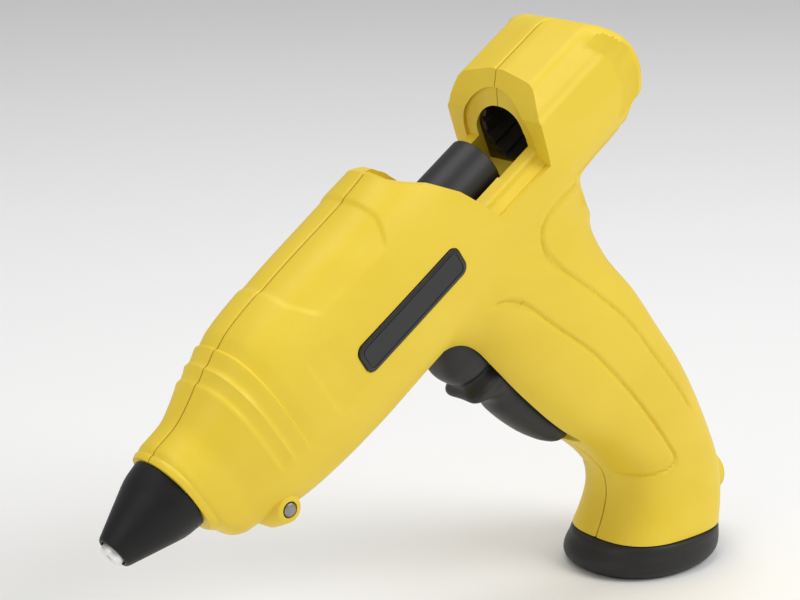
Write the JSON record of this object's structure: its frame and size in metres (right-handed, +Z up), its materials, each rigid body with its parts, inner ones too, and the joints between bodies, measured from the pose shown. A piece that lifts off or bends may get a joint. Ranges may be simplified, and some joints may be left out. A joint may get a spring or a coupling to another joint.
{
  "type": "hot melt glue gun",
  "caption": "Hand-held hot melt glue gun: split moulded casing with a curved handle and flared foot, a trigger that slides a feed tube, and a hooded nozzle.",
  "frame": {"origin": "centre of the foot's underside", "axes": "+Z up, -X towards the nozzle, +Y towards the right shell; the shells part on y = 0 and the stick axis slopes 34.2 degrees down to the nozzle"},
  "size_m": [0.2163, 0.041, 0.1634],
  "materials": {
    "shell_yellow": "yellow moulded ABS, fine satin texture",
    "nozzle_metal": "turned, heat dulled",
    "boot_rubber": "black silicone rubber, matte",
    "steel": "zinc plated",
    "spring_steel": "drawn wire",
    "chamber_aluminium": "die cast",
    "heater_ceramic": "ceramic heater in a film wrap",
    "sleeve_silicone": "red brown silicone rubber",
    "carriage_black": "black nylon tube, fine grain",
    "mechanism_black": "black nylon",
    "trigger_black": "black moulded plastic, satin",
    "nose_pin_steel": "cut end, dull",
    "guide_black": "black moulded plastic",
    "foot_black": "black moulded plastic, satin",
    "badge_black": "plain black label, no text",
    "terminal_plastic": "white polyamide",
    "lead_sleeve": "glass fibre sleeved wire",
    "screw_steel": "black zinc"
  },
  "bodies": {
    "casing": {"left_shell": "shell_yellow", "right_shell": "shell_yellow", "nozzle": "nozzle_metal", "nozzle_boot": "boot_rubber", "check_ball": "steel", "check_spring": "spring_steel", "heating_chamber": "chamber_aluminium", "heater": "heater_ceramic", "heater_clip": "steel", "inlet_sleeve": "sleeve_silicone", "sleeve_clip": "steel", "trigger_pin": "steel", "nose_pin": "nose_pin_steel", "stick_guide": "guide_black", "foot": "foot_black", "badge": "badge_black", "terminal_block": "terminal_plastic", "cord_clamp": "mechanism_black", "cord_gland": "boot_rubber", "lead_left": "lead_sleeve", "lead_right": "lead_sleeve", "shell_screw_1": "screw_steel", "shell_screw_2": "screw_steel", "shell_screw_3": "screw_steel", "shell_screw_4": "screw_steel", "shell_screw_5": "screw_steel", "shell_screw_6": "screw_steel"},
    "trigger": {"trigger": "trigger_black"},
    "feed": {"feed_carriage": "carriage_black", "lever_pin": "steel", "return_spring": "spring_steel"},
    "gripper": {"gripper_lever": "mechanism_black", "drive_pin": "steel"}
  },
  "joints": [
    {"name": "trigger_squeeze", "type": "hinge", "parent": "casing", "child": "trigger", "pos_m": [-0.07619, 0, 0.08862], "axis": [0, -1, 0], "range_deg": [0, 18], "stiffness_Nm_per_rad": 0.3, "springref_deg": -20.05},
    {"name": "feed_slide", "type": "slide", "parent": "casing", "child": "feed", "axis": [-0.8271, 0, -0.5621], "range_m": [0, 0.0046], "deforming": ["return_spring"]},
    {"name": "gripper_tilt", "type": "hinge", "parent": "feed", "child": "gripper", "pos_m": [-0.0768, 0, 0.10731], "axis": [0, 1, 0], "range_deg": [0, 4]}
  ],
  "couplings": [
    {"joint": "feed_slide", "follows": "trigger_squeeze", "m_per_rad": 0.01464},
    {"joint": "gripper_tilt", "follows": "trigger_squeeze", "ratio": 0.2222}
  ]
}
